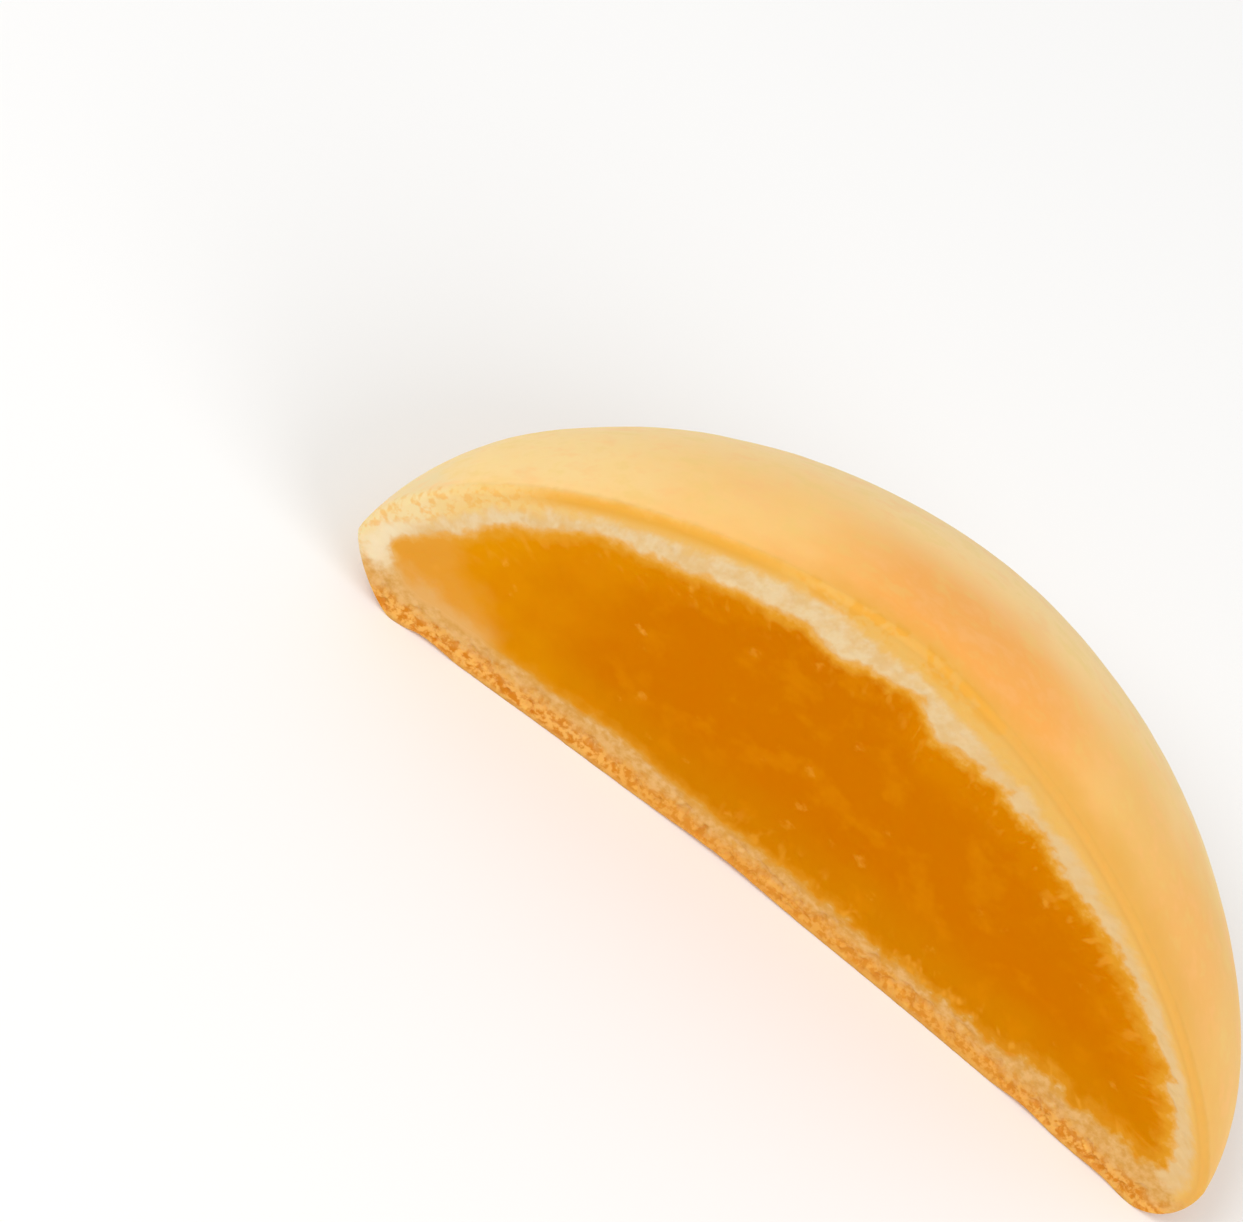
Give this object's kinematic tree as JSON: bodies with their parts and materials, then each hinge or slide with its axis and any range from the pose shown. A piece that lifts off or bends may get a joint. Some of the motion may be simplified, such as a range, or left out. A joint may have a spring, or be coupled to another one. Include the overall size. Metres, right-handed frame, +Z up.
{
  "type": "half of a bean paste manju",
  "caption": "Half of an oval baked bun with bean paste filling, cut lengthwise and resting on its flat base with the filled cut face showing.",
  "frame": {"origin": "middle of the box round the half, on the surface it rests on", "axes": "+Z up, +X along the cut's length, the cut face looks to -Y"},
  "size_m": [0.0638, 0.026, 0.0244],
  "materials": {
    "dough": "soft baked skin, pale golden, with a cream crumb where it is cut",
    "bean_paste": "smooth moist amber paste"
  },
  "bodies": {
    "root": {"dough": "dough", "bean_paste": "bean_paste"}
  },
  "joints": []
}
